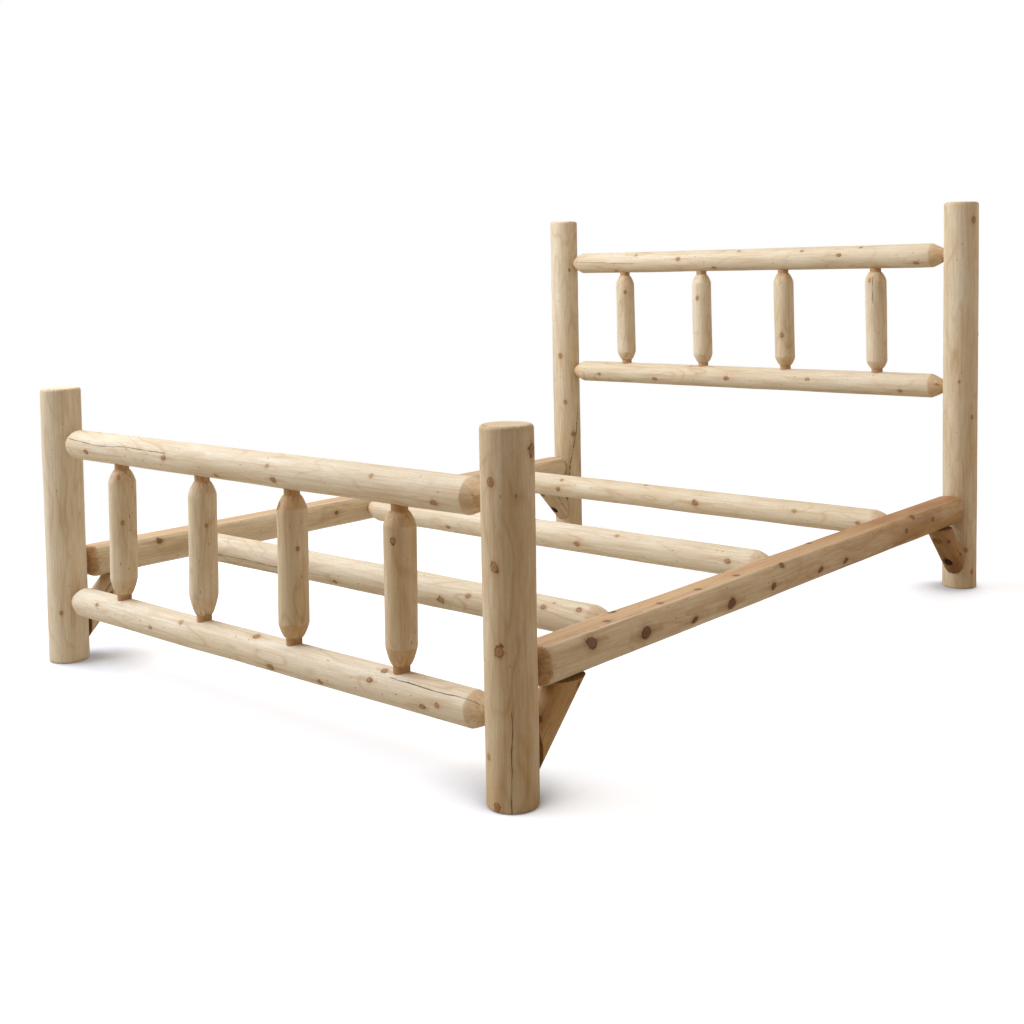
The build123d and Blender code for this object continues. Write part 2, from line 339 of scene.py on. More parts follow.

    # Coats of colour, each over the ones before, from the sapwood to the knots and the checks. The brown one
    # darkens some logs, and some ends of logs, in blotches. The checks' near-black line and the darker brown
    # where a neck goes into its rail are painted shade, and the pale arris is wear with a painted highlight
    coat = paint(look["pale"])
    for key, tint in (
        ("shade", "tan"), ("pinker", "pink"), ("greyer", "grey"), ("streaks", "streak"),
        ("darkBands", "streak"), ("paleBands", "grey"), ("smudges", "smudge"), ("lines", "ring"),
        ("flat", "sawn"), ("plankLines", "sawnLine"), ("arris", "arris"), ("cut", "cut"),
        ("cutDark", "cutDark"), ("turned", "streak"), ("torn", "neck"), ("neck", "neck"),
        ("endGrain", "end"), ("rings", "endRing"), ("fibres", "fibre"), ("grits", "fibre"),
        ("flecks", "fleck"), ("blotches", "brown"), ("collar", "collar"), ("tail", "collar"),
        ("eye", "knot"), ("rim", "knotRim"), ("heart", "knotRim"), ("bark", "crack"), ("cracks", "crack"),
    ):
        blend = "MULTIPLY" if tint == "brown" else "MIX"
        inputs = {"Factor": mask[key], "A": coat, "B": paint(look[tint])}
        coat = add("Mix", inputs, data_type="RGBA", blend_type=blend)

    # Relief in mm: fibres and grit stand proud, sanding leaves dips, knots bulge, and a check is 1.5 mm deep
    relief = 0.0
    for source, height in (
        (noise["fibre"], 0.16), (noise["patch"], 0.5), (noise["smudge"], 0.5), (noise["grit"], 0.06),
        (mask["flecks"], -0.15), (mask["eye"], 0.35), (mask["rim"], -0.3), (mask["turned"], -0.25),
        (mask["cracks"], -1.5),
    ):
        relief = add("Math", [source, height, relief], operation="MULTIPLY_ADD")
    bump = add("Bump", {"Strength": 0.9, "Distance": mm, "Height": relief})
    gloss = add("MapRange", {
        "Value": noise["fibre"], "From Min": 0.3, "From Max": 0.7, "To Min": 0.54, "To Max": 0.68,
    })
    surface = add("BsdfPrincipled", {
        "Base Color": coat, "Roughness": gloss, "IOR": 1.5, "Specular IOR Level": 0.35, "Normal": bump,
    })
    add("OutputMaterial", {"Surface": surface})
    return material


# White cedar, peeled and sanded under a clear matt finish: cream sapwood, faint tan streaks, small knots
peeledCedar = logWood("peeledCedar", {
    "pale": "#EEE7D1", "tan": "#DDCBA6", "pink": "#E2C9A8", "grey": "#E6E0C9", "streak": "#CBB28A",
    "smudge": "#CDB088", "ring": "#BE9F76", "fibre": "#D3BC96", "fleck": "#A08058", "brown": "#DCC8A6",
    "cut": "#E2C194", "cutDark": "#CAA074", "neck": "#B07D48", "sawn": "#DFBE92", "sawnLine": "#C49A6A",
    "arris": "#EAD9BA", "end": "#F2E6CC", "endRing": "#D8BF98", "collar": "#C3A074", "knot": "#A37B4C",
    "knotRim": "#6A4728", "crack": "#4A3421",
    "patchy": 0.5, "mottled": 0.5, "ringLines": 9, "cutStart": 0.0, "cutFray": 2.0,
})

# The same wood sawn flat along the top, where the saw left long orange lines, and a pale arris that is worn
# and carries a painted highlight
sawnCedar = logWood("sawnCedar", {
    "pale": "#ECDFC2", "tan": "#D6C19A", "pink": "#D3B08A", "grey": "#DDD2B2", "streak": "#C0A27A",
    "smudge": "#B5946A", "ring": "#B08E62", "fibre": "#C9AE86", "fleck": "#86664A", "brown": "#CAAD86",
    "cut": "#BD8F5D", "cutDark": "#98693F", "neck": "#8E602F", "sawn": "#D0AE84", "sawnLine": "#BA8C5C",
    "arris": "#F8E8CE", "end": "#D8B88C", "endRing": "#B89060", "collar": "#B08C60", "knot": "#704D2A",
    "knotRim": "#48301A", "crack": "#3F2C1C",
    "patchy": 0.55, "mottled": 0.5, "ringLines": 8, "cutStart": 3.0, "cutFray": 6.0,
})

# Darker stock with the bark side barely cleaned: brown with orange streaks
braceCedar = logWood("braceCedar", {
    "pale": "#D2AE79", "tan": "#BE965F", "pink": "#BC8854", "grey": "#BDA67C", "streak": "#9E7446",
    "smudge": "#9A7044", "ring": "#94683A", "fibre": "#AE8450", "fleck": "#7A5632", "brown": "#BFA88C",
    "cut": "#C0945F", "cutDark": "#9E7446", "neck": "#9E7446", "sawn": "#C0945F", "sawnLine": "#9E7446",
    "arris": "#C0945F", "end": "#C0945F", "endRing": "#9E7446", "collar": "#8F683E", "knot": "#6E4A2A",
    "knotRim": "#4A301A", "crack": "#2E1F13",
    "patchy": 0.6, "mottled": 0.6, "ringLines": 10, "cutStart": 0.0, "cutFray": 0.5,
})

# The braces' mitred, coped and bored faces: cut across the fibres by a coarse saw, darker and open
mitredCedar, add = newMaterial("mitredCedar")
spot = add("TexCoord").outputs["Object"]
speck = add("TexNoise", {"Vector": spot, "Scale": 260, "Detail": 3})  # 4 mm
year = add("TexWave", {
    "Vector": spot, "Scale": 40, "Distortion": 3, "Detail": 2,  # rings 9 mm apart
}, bands_direction="DIAGONAL")
year = add("Math", [year, 0.6], operation="MULTIPLY")
coat = add("Mix", {"Factor": speck, "A": paint("#B08858"), "B": paint("#94703F")}, data_type="RGBA")
coat = add("Mix", {"Factor": year, "A": coat, "B": paint("#84603A")}, data_type="RGBA")
bump = add("Bump", {"Strength": 0.6, "Distance": 0.5 * mm, "Height": speck})
surface = add("BsdfPrincipled", {
    "Base Color": coat, "Roughness": 0.75, "IOR": 1.5, "Specular IOR Level": 0.3, "Normal": bump,
})
add("OutputMaterial", {"Surface": surface})

# Logs. One Geometry Nodes tree turns a cylinder and the marks on it into a log with a shoulder and a tenon at
# each end. These are its named inputs, with sizes in metres

logSizes = {
    "Around": 80,
    "Body Rings": 100,
    "Shoulder Rings": 10,
    "Tenon Rings": 2,
    "Length": 1.0,
    "Body Radius": 0.05,
    "Low Shoulder": 0.03,
    "High Shoulder": 0.03,
    "Tenon Length": 0.05,
    "Low End Radius": 0.02,
    "High End Radius": 0.02,
    "Shoulder Bulge": 0.5,
    "Round Over": 0.0,
    "Waviness": 0.0015,
    "Flat Depth": 0.001,
    "Sawn Height": 1.0,
    "Knot Bump": 0.0006,
    "Ridge Wander": 0.002,
    "Tone Low": 0.0,
    "Tone High": 0.0,
    "Cut Tone": 0.5,
    "Seed": 1,
}

# How the tree shapes every log, with sizes in metres
logShape = {
    "ridgeFade": 9,  # rings of body
    "ridgeNoise": {"Scale": 1.1, "Detail": 2},
    "waveStretch": (1, 1, 0.28),
    "waveNoise": {"Scale": 14, "Detail": 2, "Roughness": 0.4},  # 70 mm round and 250 mm along
    "flats": 4,
    "leastFacing": 0.1,  # keeps a flat from wrapping round the log
    "flatBlend": 0.0003,
    "knotStretch": (1, 1, 0.78),  # knots are longer along the log than across it
    "grainStep": 2.7,  # from one seed to the next
    "sharpEdge": 17,  # degrees
}


def buildLogTree():
    tree = bpy.data.node_groups.new("peeledLog", "GeometryNodeTree")
    tree.interface.new_socket("Marks", in_out="INPUT", socket_type="NodeSocketGeometry")
    for name, value in logSizes.items():
        kind = "NodeSocketInt" if isinstance(value, int) else "NodeSocketFloat"
        tree.interface.new_socket(name, in_out="INPUT", socket_type=kind).default_value = value
    tree.interface.new_socket("Wood", in_out="INPUT", socket_type="NodeSocketMaterial")
    tree.interface.new_socket("Log", in_out="OUTPUT", socket_type="NodeSocketGeometry")
    add = partial(addNode, tree)
    given = add("NodeGroupInput").outputs

    # A plain cylinder one unit in radius, whose rings are numbered up the log
    half = add("Math", [given["Shoulder Rings"], given["Tenon Rings"]], operation="ADD")
    total = add("Math", [half, 2.0, given["Body Rings"]], operation="MULTIPLY_ADD")
    log = add("GeometryNodeMeshCylinder", {
        "Vertices": given["Around"], "Side Segments": total, "Fill Segments": 3, "Radius": 1.0,
        "Depth": total,
    }, fill_type="TRIANGLE_FAN").outputs["Mesh"]
    position = add("GeometryNodeInputPosition")
    unit = add("SeparateXYZ", [position]).outputs
    ring = add("Math", [total, 0.5, unit["Z"]], operation="MULTIPLY_ADD")
    body = given["Length"]
    for part in ("Low Shoulder", "High Shoulder", "Tenon Length", "Tenon Length"):
        body = add("Math", [body, given[part]], operation="SUBTRACT")

    # Rings spread over tenon, shoulder, body, shoulder and tenon, so that one falls on each edge
    height = add("Math", [given["Length"], -0.5], operation="MULTIPLY")
    starts = [0.0]
    for count, length in (
        ("Tenon Rings", given["Tenon Length"]),
        ("Shoulder Rings", given["Low Shoulder"]),
        ("Body Rings", body),
        ("Shoulder Rings", given["High Shoulder"]),
        ("Tenon Rings", given["Tenon Length"]),
    ):
        stop = add("Math", [starts[-1], given[count]], operation="ADD")
        ramp = add("MapRange", {"Value": ring, "From Min": starts[-1], "From Max": stop, "To Max": length})
        height = add("Math", [height, ramp], operation="ADD")
        starts.append(stop)
    low = add("MapRange", {
        "Value": ring, "From Min": starts[1], "From Max": starts[2], "To Min": 1.0, "To Max": 0.0,
    })
    high = add("MapRange", {"Value": ring, "From Min": starts[3], "From Max": starts[4]})
    along = add("Math", [low, high], operation="MAXIMUM")
    upper = add("Math", [unit["Z"], 0.0], operation="GREATER_THAN")

    # The ridge where a shoulder starts wanders a little, fading along the body and down the shoulder
    pastLow = add("Math", [starts[2], ring], operation="SUBTRACT")
    pastHigh = add("Math", [ring, starts[3]], operation="SUBTRACT")
    past = add("Math", [pastLow, pastHigh], operation="MAXIMUM")
    nearRidge = add("MapRange", {"Value": past, "From Min": -logShape["ridgeFade"], "From Max": 0.0})
    ebb = add("Math", [1.0, along], operation="SUBTRACT")
    nearRidge = add("Math", [nearRidge, ebb], operation="MULTIPLY")
    rimPlace = add("Math", [upper, 7.0], operation="MULTIPLY")
    rimPlace = add("CombineXYZ", [unit["X"], unit["Y"], rimPlace])
    wander = add("TexNoise", {
        "Vector": rimPlace, "W": given["Seed"], **logShape["ridgeNoise"],
    }, noise_dimensions="4D")
    farthest = add("Math", [given["Ridge Wander"], -1.0], operation="MULTIPLY")
    wander = add("MapRange", {
        "Value": wander, "From Min": 0.3, "From Max": 0.7, "To Min": farthest,
        "To Max": given["Ridge Wander"],
    })
    height = add("Math", [wander, nearRidge, height], operation="MULTIPLY_ADD")
    endRadius = add("Mix", {
        "Factor": upper, "A": given["Low End Radius"], "B": given["High End Radius"],
    }, data_type="FLOAT")

    # How far the radius has dropped along a shoulder, 0 to 1: a bulged cone, or a quarter round
    straight = add("Math", [1.0, given["Shoulder Bulge"]], operation="SUBTRACT")
    cone = add("Math", [given["Shoulder Bulge"], along, straight], operation="MULTIPLY_ADD")
    cone = add("Math", [cone, along], operation="MULTIPLY")
    quarter = add("Math", [along, along], operation="MULTIPLY")
    quarter = add("Math", [1.0, quarter], operation="SUBTRACT")
    quarter = add("Math", [quarter], operation="SQRT")
    quarter = add("Math", [1.0, quarter], operation="SUBTRACT")
    drop = add("Mix", {"Factor": given["Round Over"], "A": cone, "B": quarter}, data_type="FLOAT")

    # The peeled surface: slow waves, then long flats left by the drawknife
    wide = add("VectorMath", {0: position, "Scale": given["Body Radius"]}, operation="SCALE")
    wide = add("SeparateXYZ", [wide]).outputs
    skin = add("CombineXYZ", [wide["X"], wide["Y"], height])
    slow = add("VectorMath", [skin, logShape["waveStretch"]], operation="MULTIPLY")
    wave = add("TexNoise", {
        "Vector": slow, "W": given["Seed"], **logShape["waveNoise"],
    }, noise_dimensions="4D")
    deep = add("Math", [given["Waviness"], -1.0], operation="MULTIPLY")
    wave = add("MapRange", {
        "Value": wave, "From Min": 0.28, "From Max": 0.72, "To Min": deep, "To Max": 0.0,
    })
    radius = add("Math", [given["Body Radius"], wave], operation="ADD")
    shaved = add("Math", [given["Body Radius"], given["Flat Depth"]], operation="SUBTRACT")
    disc = add("CombineXYZ", [unit["X"], unit["Y"]])
    outward = add("VectorMath", [disc], operation="NORMALIZE")
    for number in range(logShape["flats"]):
        turn = {"Max": 2 * pi, "ID": number, "Seed": given["Seed"]}
        turn = add("FunctionNodeRandomValue", turn, data_type="FLOAT")
        east = add("Math", [turn], operation="COSINE")
        north = add("Math", [turn], operation="SINE")
        facing = add("CombineXYZ", [east, north])
        facing = add("VectorMath", [outward, facing], operation="DOT_PRODUCT")
        facing = add("Math", [facing.outputs["Value"], logShape["leastFacing"]], operation="MAXIMUM")
        plane = add("Math", [shaved, facing], operation="DIVIDE")
        radius = add("Math", [radius, plane, logShape["flatBlend"]], operation="SMOOTH_MIN")

    # The nearest knot and the nearest check among the marks
    marks = given["Marks"]
    width = add("GeometryNodeInputNamedAttribute", {"Name": "width"}, data_type="FLOAT").outputs["Attribute"]
    depth = add("GeometryNodeInputNamedAttribute", {"Name": "depth"}, data_type="FLOAT").outputs["Attribute"]
    isKnot = add("Math", [width, 0.0], operation="GREATER_THAN")
    knots = add("GeometryNodeSeparateGeometry", {"Geometry": marks, "Selection": isKnot}, domain="POINT")
    nearest = add("GeometryNodeSampleNearest", {"Geometry": knots, "Sample Position": skin}, domain="POINT")
    knotSize, knotDepth, knotPlace = (
        add("GeometryNodeSampleIndex", {"Geometry": knots, "Value": value, "Index": nearest}, data_type=kind)
        for value, kind in ((width, "FLOAT"), (depth, "FLOAT"), (position, "FLOAT_VECTOR"))
    )
    sideways = add("VectorMath", [(0, 0, 1), outward], operation="CROSS_PRODUCT")
    gap = add("VectorMath", [skin, knotPlace], operation="SUBTRACT")
    gap = add("VectorMath", [gap, logShape["knotStretch"]], operation="MULTIPLY")
    knotOver = add("VectorMath", [gap, sideways], operation="DOT_PRODUCT").outputs["Value"]
    knotFar = add("VectorMath", [gap], operation="LENGTH").outputs["Value"]
    knotOver = add("Math", [knotOver, knotSize], operation="DIVIDE")
    knotFar = add("Math", [knotFar, knotSize], operation="DIVIDE")
    knot = add("CombineXYZ", {0: knotOver, 2: knotFar})
    crack = add("GeometryNodeProximity", {"Geometry": marks, "Sample Position": skin}, target_element="EDGES")
    crack = crack.outputs
    gap = add("VectorMath", [skin, crack["Position"]], operation="SUBTRACT")
    crackOver = add("VectorMath", [gap, sideways], operation="DOT_PRODUCT").outputs["Value"]
    crackFar = add("GeometryNodeSwitch", {
        "Switch": crack["Is Valid"], "False": 1.0, "True": crack["Distance"],
    }, input_type="FLOAT")
    check = add("CombineXYZ", {0: crackOver, 2: crackFar})
    check = add("VectorMath", {0: check, "Scale": 1 / mm}, operation="SCALE")

    # Knots swell the surface up to the body radius, the shoulders narrow it and the saw takes its top
    swell = add("MapRange", {
        "Value": knotFar, "From Min": 0.7, "From Max": 1.6, "To Min": given["Knot Bump"], "To Max": 0.0,
    }, interpolation_type="SMOOTHSTEP")
    radius = add("Math", [radius, swell], operation="ADD")
    radius = add("Math", [radius, given["Body Radius"]], operation="MINIMUM")
    over = add("Math", [radius, endRadius], operation="SUBTRACT")
    over = add("Math", [over, drop], operation="MULTIPLY")
    radius = add("Math", [radius, over], operation="SUBTRACT")
    placeX = add("Math", [unit["X"], radius], operation="MULTIPLY")
    placeY = add("Math", [unit["Y"], radius], operation="MULTIPLY")
    sawn = add("Math", [placeY, given["Sawn Height"]], operation="SUBTRACT")
    sawn = add("Math", [sawn, 1 / mm], operation="MULTIPLY")
    placeY = add("Math", [placeY, given["Sawn Height"]], operation="MINIMUM")
    place = add("CombineXYZ", [placeX, placeY, height])

    # What the wood's material reads. Each seed has its own stretch of grain
    apart = add("CombineXYZ", {2: given["Seed"]})
    apart = add("VectorMath", [apart, (0, 0, logShape["grainStep"])], operation="MULTIPLY")
    grain = add("VectorMath", [place, apart], operation="ADD")
    fromEnd = add("Math", [total, ring], operation="SUBTRACT")
    fromEnd = add("Math", [fromEnd, ring], operation="MINIMUM")
    inside = add("VectorMath", [disc], operation="LENGTH").outputs["Value"]
    inside = add("Math", [1.0, inside], operation="SUBTRACT")
    inside = add("Math", [inside, 10.0], operation="MULTIPLY")
    end = add("Math", [inside, fromEnd], operation="SUBTRACT")
    faces = add("CombineXYZ", [past, sawn, end])
    share = add("Math", [height, given["Length"]], operation="DIVIDE")
    brown = add("MapRange", {
        "Value": share, "From Min": -0.5, "From Max": 0.5, "To Min": given["Tone Low"],
        "To Max": given["Tone High"],
    })
    tone = add("CombineXYZ", [brown, given["Cut Tone"], knotDepth])
    stored = {"grain": grain, "knot": knot, "check": check, "faces": faces, "tone": tone}
    for name, value in stored.items():
        log = add("GeometryNodeStoreNamedAttribute", {
            "Geometry": log, "Name": name, "Value": value,
        }, data_type="FLOAT_VECTOR", domain="POINT")
    log = add("GeometryNodeSetPosition", {"Geometry": log, "Position": place})

    # Smooth all over but for the shoulder's ridge, the sawn arris and the ends
    log = add("GeometryNodeSetShadeSmooth", {"Geometry": log, "Shade Smooth": True}, domain="FACE")
    angle = add("GeometryNodeInputMeshEdgeAngle").outputs["Unsigned Angle"]
    sharp = add("Math", [angle, radians(logShape["sharpEdge"])], operation="GREATER_THAN")
    log = add("GeometryNodeSetShadeSmooth", {
        "Geometry": log, "Selection": sharp, "Shade Smooth": False,
    }, domain="EDGE")
    log = add("GeometryNodeRealizeInstances", {"Geometry": log})
    log = add("GeometryNodeSetMaterial", {"Geometry": log, "Material": given["Wood"]})
    add("NodeGroupOutput", {"Log": log})
    return tree


logTree = buildLogTree()
socketOf = {item.name: item.identifier for item in logTree.interface.items_tree if item.in_out == "INPUT"}


def plainMesh(piece):
    depsgraph = bpy.context.evaluated_depsgraph_get()
    shaped = piece.evaluated_get(depsgraph)
    mesh = bpy.data.meshes.new_from_object(shaped, preserve_all_data_layers=True, depsgraph=depsgraph)
    piece.modifiers.clear()
    return mesh


def onSkin(radius, turn, reach):
    return radius * sin(radians(turn)), radius * cos(radians(turn)), reach * mm


# How a log's spare knots and its checks are drawn by lot
drawn = {
    "knotSpread": 0.84,  # of the length
    "knotWidths": (5, 6, 7, 9),  # mm
    "checkStep": 22,  # mm
    "checkWander": 1.1,  # degrees
}


def growLog(name, place, wood, log, sizes):
    # A log's knots are (along mm, turn degrees, radius mm) and its checks runs of (along mm, turn degrees),
    # turned from Y towards X. A small knot is paler than a large one, and no two are alike
    rng = Random(log["seed"])
    radius, length = sizes["Body Radius"], sizes["Length"]
    hiddenTurn, hiddenWidth = log["hidden"]
    knots = list(log["knots"])
    for number in range(log["spare"]):
        share = (number + rng.uniform(0.15, 0.85)) / log["spare"] - 0.5
        turn = hiddenTurn + rng.uniform(-0.5, 0.5) * hiddenWidth
        knots.append((share * drawn["knotSpread"] * length / mm, turn, rng.choice(drawn["knotWidths"])))
    points = [onSkin(radius, turn, reach) for reach, turn, width in knots]
    widths = [width * mm for reach, turn, width in knots]
    depths = [min(1.0, 0.55 + 0.05 * width) * rng.uniform(0.75, 1.0) for reach, turn, width in knots]
    edges = []
    for run in log.get("checks", ()):
        previous = None
        for (fromReach, fromTurn), (toReach, toTurn) in zip(run, run[1:]):
            steps = max(2, int(abs(toReach - fromReach) / drawn["checkStep"]))
            for step in range(steps + 1):
                share = step / steps
                wander = rng.uniform(-drawn["checkWander"], drawn["checkWander"])
                turn = fromTurn + (toTurn - fromTurn) * share + wander
                points.append(onSkin(radius, turn, fromReach + (toReach - fromReach) * share))
                widths.append(0.0)
                depths.append(0.0)
                if previous is not None:
                    edges.append((previous, len(points) - 1))
                previous = len(points) - 1
    marks = bpy.data.meshes.new(name + "Marks")
    marks.from_pydata(points, edges, [])
    marks.attributes.new("width", "FLOAT", "POINT").data.foreach_set("value", widths)
    marks.attributes.new("depth", "FLOAT", "POINT").data.foreach_set("value", depths)
    piece = bpy.data.objects.new(name, marks)
    scene.collection.objects.link(piece)
    modifier = piece.modifiers.new("peeledLog", "NODES")
    modifier.node_group = logTree
    toneLow, toneHigh = log["tone"]
    shades = {"Tone Low": toneLow, "Tone High": toneHigh, "Cut Tone": log["cut"]}
    for key, value in {**logSizes, **sizes, **log["skin"], **shades, "Seed": log["seed"]}.items():
        modifier[socketOf[key]] = value
    modifier[socketOf["Wood"]] = wood
    piece.data = plainMesh(piece)
    piece.data.transform(place)
    piece.data.name = name
    bpy.data.meshes.remove(marks)
    return piece


def shouldered(log):
    # Sizes for a shoulder and a tenon at each end. The skin starts proud, as its waves and flats only sink
    lowShoulder, highShoulder = log["shoulders"]
    return {
        "Body Rings": round(2 * (log["halfSpan"] - log["neck"] - lowShoulder) / log["ringSpacing"]),
        "Length": 2 * (log["halfSpan"] + log["tenonLength"]) * mm,
        "Body Radius": (log["radius"] + log["proud"]) * mm,
        "Low Shoulder": lowShoulder * mm,
        "High Shoulder": highShoulder * mm,
        "Tenon Length": (log["neck"] + log["tenonLength"]) * mm,
        "Low End Radius": log["tenonRadius"] * mm,
        "High End Radius": log["tenonRadius"] * mm,
        "Shoulder Bulge": 4 * log["bulge"] / (log["radius"] - log["tenonRadius"]),
    }


def standsFor(piece, node):
    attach(piece, "root")
    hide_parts(node)


def leaning(slopeX, slopeY):
    lean = Matrix.Identity(4)
    lean[0][2], lean[1][2] = slopeX, slopeY
    return lean


def frameAt(middle, xAxis, yAxis):
    zAxis = Vector(xAxis).cross(Vector(yAxis))
    return Matrix.Translation([m * mm for m in middle]) @ Matrix((xAxis, yAxis, zAxis)).transposed().to_4x4()


# Each kind of log has a dictionary with what its logs share, and with the marks of each. Tone is how brown
# a log is at its low and its high end, cut how much its shoulders show, and hidden the middle and the width
# in degrees of the side that its spare knots lie on. Skin holds the kind's own inputs of the tree

# Posts

posts = {
    "across": 792, "along": 1099, "radius": 53, "footHeight": 739, "headHeight": 1219,
    "topRound": 9, "footRound": 6, "ringSpacing": 4, "cut": 0.12, "hidden": (-40, 150), "spare": 4,
    "lean": (0, 0),  # how far the top is off, in mm
    "skin": {
        "Around": 96, "Round Over": 1.0, "Ridge Wander": 0.001, "Waviness": 0.0016, "Flat Depth": 0.0007,
    },
    "marks": {
        "foot_post_left": {"seed": 11, "tone": (0.06, 0.0), "lean": (8, 0), "knots": [(-230, 140, 5)]},
        "foot_post_right": {
            "seed": 12, "tone": (0.62, 0.56),
            "knots": [(265, 177, 8), (105, 171, 9), (-55, 163, 10), (-265, 200, 6), (-357, 175, 8),
                      (240, 122, 3), (322, 76, 11)],
            "checks": [[(-175, 138), (-362, 143)]],
        },
        "head_post_left": {
            "seed": 13, "tone": (0.6, 0.03), "lean": (0, -8),
            "knots": [(86, 167, 8), (-95, 148, 7), (-222, 115, 8), (420, 120, 4)],
            "checks": [[(-110, 86), (-210, 99), (-340, 132), (-515, 153)],
                       [(-140, 91), (-210, 101), (-340, 134), (-515, 155)],
                       [(-140, 88), (-210, 97), (-340, 130), (-500, 150)]],
        },
        "head_post_right": {
            "seed": 14, "tone": (0.4, 0.28),
            "knots": [(552, 114, 9), (196, 75, 5), (48, 163, 4), (-63, 117, 5), (-484, 137, 6),
                      (-556, 113, 6)],
        },
    },
}

for node, mark in posts["marks"].items():
    log = {**posts, **mark}
    xSide = -1 if "left" in node else 1
    ySide = -1 if "foot" in node else 1
    height = posts["footHeight"] if "foot" in node else posts["headHeight"]
    leanX, leanY = log["lean"]
    middle = (xSide * posts["across"] + leanX / 2, ySide * posts["along"] + leanY / 2, height / 2)
    place = frameAt(middle, (1, 0, 0), (0, 1, 0)) @ leaning(leanX / height, leanY / height)
    piece = growLog("peeled_" + node, place, peeledCedar, log, {
        "Body Rings": round(height / posts["ringSpacing"]), "Shoulder Rings": 8, "Tenon Rings": 0,
        "Length": height * mm, "Body Radius": posts["radius"] * mm, "Tenon Length": 0.0,
        "Low Shoulder": posts["footRound"] * mm, "High Shoulder": posts["topRound"] * mm,
        "Low End Radius": (posts["radius"] - posts["footRound"]) * mm,
        "High End Radius": (posts["radius"] - posts["topRound"]) * mm,
    })
    standsFor(piece, node)
print("posts grown")

# Rails between the posts of each end

endRails = {
    "along": 1099, "halfSpan": 739, "radius": 38.5, "proud": 0.6, "shoulders": (40, 40), "neck": 0,
    "tenonRadius": 19, "tenonLength": 62, "bulge": 1.5, "ringSpacing": 4, "cut": 0.45, "hidden": (95, 120),
    "spare": 6,
    "skin": {"Waviness": 0.0018, "Flat Depth": 0.0009},
    "marks": {
        "foot_rail_upper": {
            "height": 592, "seed": 21, "tone": (0.2, 0.2),
            "knots": [(-608, -103, 6), (-268, -86, 7), (-75, -131, 6), (140, -112, 7), (120, -67, 5),
                      (450, -55, 5), (631, -114, 7)],
            "checks": [[(-690, -61), (-555, -74), (-435, -66), (-270, -69)]],
        },
        "foot_rail_lower": {
            "height": 169, "seed": 22, "tone": (0.0, 0.0),
            "knots": [(-590, -64, 5), (-350, -92, 5), (-236, -44, 6), (37, -20, 8), (107, -117, 9),
                      (275, -121, 6), (432, -66, 6), (458, -22, 6), (587, -104, 6), (630, -87, 5)],
            "checks": [[(490, -42), (620, -47), (722, -44)]],
        },
        "head_rail_upper": {
            "height": 1055, "seed": 23, "tone": (0.18, 0.18),
            "knots": [(-531, -146, 5), (-433, -47, 5), (-241, -78, 7), (-95, -135, 6), (5, -37, 5),
                      (254, -50, 5), (391, -78, 6), (464, -32, 5), (658, -128, 6)],
            "checks": [[(-714, -81), (-580, -90), (-445, -100)]],
        },
        "head_rail_lower": {
            "height": 637, "seed": 24, "tone": (0.16, 0.16),
            "knots": [(-606, -101, 6), (-349, -115, 7), (-203, -25, 5), (-42, -91, 7), (276, -78, 6),
                      (606, -118, 6), (728, -75, 5)],
        },
    },
}

for node, mark in endRails["marks"].items():
    log = {**endRails, **mark}
    ySide = -1 if "foot" in node else 1
    place = frameAt((0, ySide * log["along"], log["height"]), (0, 1, 0), (0, 0, 1))
    piece = growLog("peeled_" + node, place, peeledCedar, log, shouldered(log))
    standsFor(piece, node)
print("end rails grown")

# Spindles

spindles = {
    "along": 1099, "pitch": 337, "radius": 34.5, "proud": 0.6, "neck": 11, "tenonRadius": 18,
    "tenonLength": 44, "bulge": 1.2, "ringSpacing": 4, "railRadius": 38.5, "hidden": (-50, 120), "spare": 2,
    "railHeights": {"foot": (169, 592), "head": (637, 1055)},
    "skin": {
        "Tenon Rings": 6, "Round Over": 0.3, "Waviness": 0.0018, "Flat Depth": 0.0011, "Ridge Wander": 0.003,
    },
    "marks": {  # shoulders and shift are of the low and the high end, and shift is off the even spacing
        "foot_spindle_1": {"seed": 31, "shoulders": (43, 33), "shift": (-10, 0), "tone": (0.36, 0.36),
                           "cut": 0.2, "knots": [(29, 125, 5), (145, 140, 5)]},
        "foot_spindle_2": {"seed": 32, "shoulders": (50, 31), "shift": (-10, 0), "tone": (0.28, 0.28),
                           "cut": 0.15, "knots": [(60, 113, 4)]},
        "foot_spindle_3": {"seed": 33, "shoulders": (37, 31), "shift": (-16, -9), "tone": (0.42, 0.42),
                           "cut": 0.7, "knots": [(45, 112, 4), (140, -161, 7)]},
        "foot_spindle_4": {"seed": 34, "shoulders": (41, 31), "shift": (-12, -7), "tone": (0.6, 0.6),
                           "cut": 0.5, "knots": [(106, 158, 6)]},
        "head_spindle_1": {"seed": 41, "shoulders": (31, 33), "shift": (5, 0), "tone": (0.2, 0.2),
                           "cut": 0.2, "knots": [(98, 145, 5)]},
        "head_spindle_2": {"seed": 42, "shoulders": (31, 31), "shift": (8, 3), "tone": (0.05, 0.05),
                           "cut": 0.15, "knots": [(75, 178, 6)]},
        "head_spindle_3": {"seed": 43, "shoulders": (31, 31), "shift": (5, -3), "tone": (0.3, 0.3),
                           "cut": 0.4, "knots": [(-53, 169, 7), (157, 173, 5)]},
        "head_spindle_4": {"seed": 44, "shoulders": (25, 30), "shift": (6, 0), "tone": (0.25, 0.25),
                           "cut": 0.3, "knots": [(133, -169, 6)], "checks": [[(140, 170), (60, 172)]]},
    },
}

